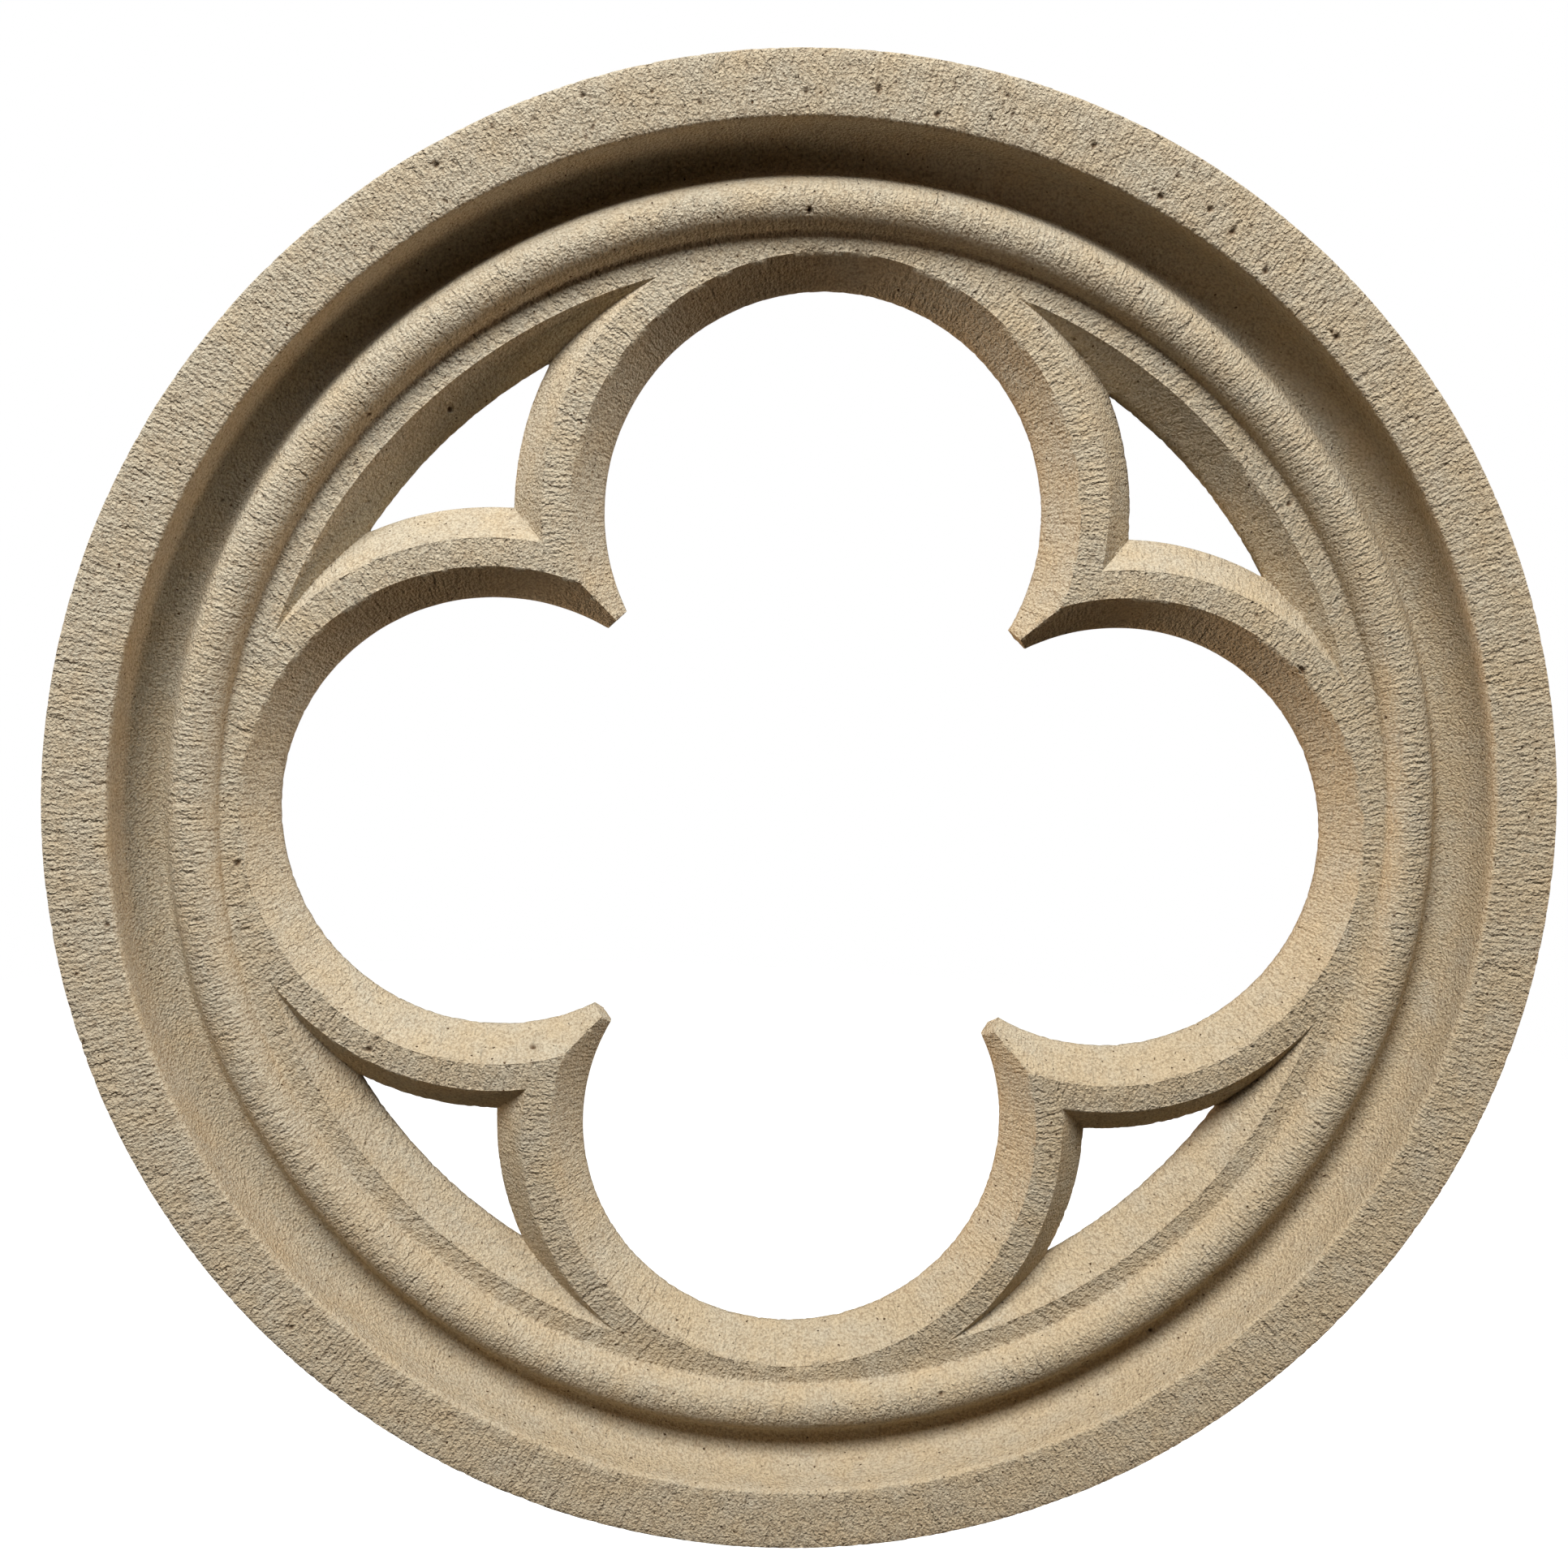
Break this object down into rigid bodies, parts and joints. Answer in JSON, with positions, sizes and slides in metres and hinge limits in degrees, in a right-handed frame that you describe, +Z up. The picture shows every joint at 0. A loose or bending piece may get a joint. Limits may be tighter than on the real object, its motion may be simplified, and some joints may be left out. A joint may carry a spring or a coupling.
{
  "type": "rose window",
  "caption": "Round quatrefoil window carved in one piece of pale limestone, with a flat rim, a deep hollow, a roll, chamfered foils, blunt cusps and pierced spandrels.",
  "frame": {"origin": "on the flat back, in the middle of the band of stone below the bottom foil, where the window is bedded against the wall", "axes": "+Z up, -Y out of the moulded front, +Y out of the flat back into the wall, +X to the right seen from the front"},
  "size_m": [0.6, 0.0555, 0.6],
  "materials": {
    "limestone": "matte, finely grained, with dragged tool marks and small pits"
  },
  "bodies": {
    "root": {"rose_window": "limestone"}
  },
  "joints": []
}
